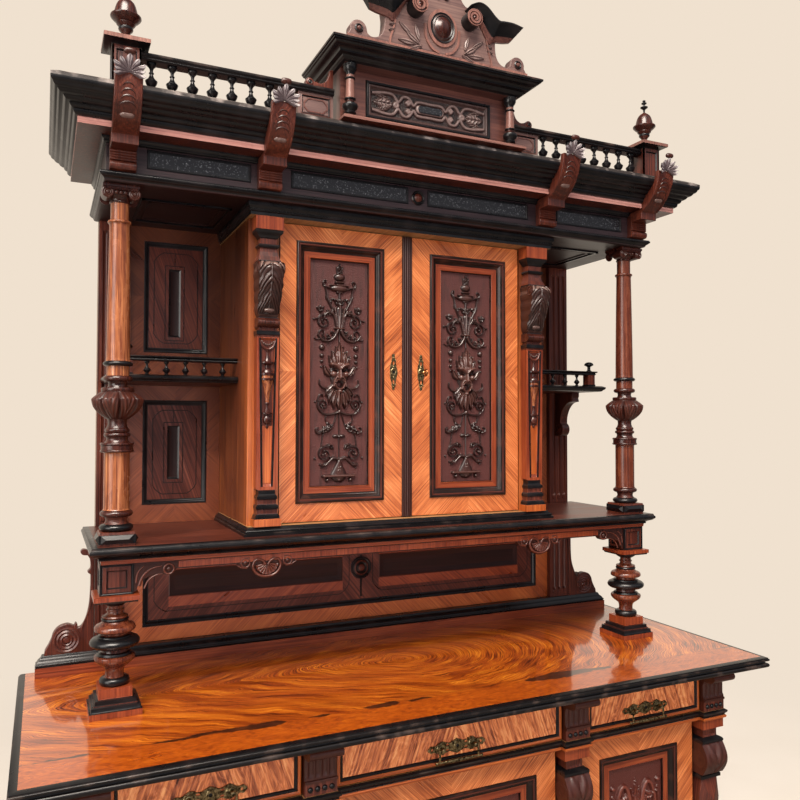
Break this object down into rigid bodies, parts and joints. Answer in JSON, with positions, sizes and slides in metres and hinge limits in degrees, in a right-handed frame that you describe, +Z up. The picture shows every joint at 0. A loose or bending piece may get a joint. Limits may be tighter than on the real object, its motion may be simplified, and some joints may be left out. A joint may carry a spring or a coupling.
{
  "type": "buffet cabinet",
  "caption": "Two-part walnut buffet: panelled base with drawers and doors, worktop, columned upper cupboard with niches and galleries, bracketed cornice and scrolled crest.",
  "frame": {"origin": "on the floor, under the middle of the worktop's width and depth", "axes": "+Z up, +X to the right of someone facing the cabinet, +Y from the front to the wall behind"},
  "size_m": [1.65, 0.62, 2.5633],
  "materials": {
    "walnut": "french-polished figured walnut veneer",
    "carved": "dark waxed carved walnut",
    "ebonised": "satin black ebonised moulding",
    "interior": "plain waxed oak",
    "brass": "aged cast brass"
  },
  "bodies": {
    "carcass": {"base_plinth": "walnut", "base_side_left": "walnut", "base_side_right": "walnut", "base_back": "interior", "drawer_deck": "ebonised", "worktop": "walnut", "base_console_1": "carved", "base_console_2": "carved", "base_console_3": "carved", "base_console_4": "carved", "drawer_block_1": "carved", "drawer_block_2": "carved", "drawer_block_3": "carved", "drawer_block_4": "carved", "upper_back": "walnut", "back_plinth": "walnut", "baluster_left": "walnut", "baluster_right": "walnut", "mid_shelf": "ebonised", "apron": "carved", "column_left": "walnut", "column_right": "walnut", "cupboard_side_left": "walnut", "cupboard_side_right": "walnut", "cupboard_pilaster_left": "carved", "cupboard_pilaster_right": "carved", "cupboard_shelf": "interior", "gallery_shelf_left": "carved", "gallery_shelf_right": "carved", "entablature": "ebonised", "cupboard_head": "ebonised", "cornice_bracket_1": "carved", "cornice_bracket_2": "carved", "cornice_bracket_3": "carved", "cornice_bracket_4": "carved", "top_gallery_left": "carved", "top_gallery_right": "carved", "attic": "walnut", "attic_colonnette_left": "walnut", "attic_colonnette_right": "walnut", "crest": "carved"},
    "drawer_left": {"drawer_front_left": "walnut", "drawer_box_left": "interior", "pull_plate_left": "brass"},
    "drawer_center": {"drawer_front_center": "walnut", "drawer_box_center": "interior", "pull_plate_center": "brass"},
    "drawer_right": {"drawer_front_right": "walnut", "drawer_box_right": "interior", "pull_plate_right": "brass"},
    "bail_left": {"pull_bail_left": "brass"},
    "bail_center": {"pull_bail_center": "brass"},
    "bail_right": {"pull_bail_right": "brass"},
    "lower_door_left": {"base_door_left": "walnut"},
    "lower_door_center": {"base_door_center": "walnut"},
    "lower_door_right": {"base_door_right": "walnut"},
    "upper_door_left": {"cupboard_door_left": "walnut"},
    "upper_door_right": {"cupboard_door_right": "walnut"},
    "key": {"cupboard_key": "brass"}
  },
  "joints": [
    {"name": "drawer_left_slide", "type": "slide", "parent": "carcass", "child": "drawer_left", "axis": [0, -1, 0], "range_m": [0, 0.36]},
    {"name": "drawer_center_slide", "type": "slide", "parent": "carcass", "child": "drawer_center", "axis": [0, -1, 0], "range_m": [0, 0.36]},
    {"name": "drawer_right_slide", "type": "slide", "parent": "carcass", "child": "drawer_right", "axis": [0, -1, 0], "range_m": [0, 0.36]},
    {"name": "bail_left_hinge", "type": "hinge", "parent": "drawer_left", "child": "bail_left", "pos_m": [-0.50175, -0.2428, 0.904], "axis": [-1, 0, 0], "range_deg": [-5, 95]},
    {"name": "bail_center_hinge", "type": "hinge", "parent": "drawer_center", "child": "bail_center", "pos_m": [0, -0.2428, 0.904], "axis": [-1, 0, 0], "range_deg": [-5, 95]},
    {"name": "bail_right_hinge", "type": "hinge", "parent": "drawer_right", "child": "bail_right", "pos_m": [0.50175, -0.2428, 0.904], "axis": [-1, 0, 0], "range_deg": [-5, 95]},
    {"name": "lower_door_left_hinge", "type": "hinge", "parent": "carcass", "child": "lower_door_left", "pos_m": [-0.661, -0.206, 0.122], "axis": [0, 0, -1], "range_deg": [0, 90]},
    {"name": "lower_door_center_hinge", "type": "hinge", "parent": "carcass", "child": "lower_door_center", "pos_m": [-0.2535, -0.206, 0.122], "axis": [0, 0, -1], "range_deg": [0, 90]},
    {"name": "lower_door_right_hinge", "type": "hinge", "parent": "carcass", "child": "lower_door_right", "pos_m": [0.661, -0.206, 0.122], "axis": [0, 0, 1], "range_deg": [0, 90]},
    {"name": "upper_door_left_hinge", "type": "hinge", "parent": "carcass", "child": "upper_door_left", "pos_m": [-0.3025, 0.012, 1.347], "axis": [0, 0, -1], "range_deg": [0, 90]},
    {"name": "upper_door_right_hinge", "type": "hinge", "parent": "carcass", "child": "upper_door_right", "pos_m": [0.3025, 0.012, 1.347], "axis": [0, 0, 1], "range_deg": [0, 90]},
    {"name": "key_turn", "type": "hinge", "parent": "upper_door_right", "child": "key", "pos_m": [0.036, 0.008, 1.685], "axis": [0, 1, 0], "range_deg": [0, 180]}
  ]
}
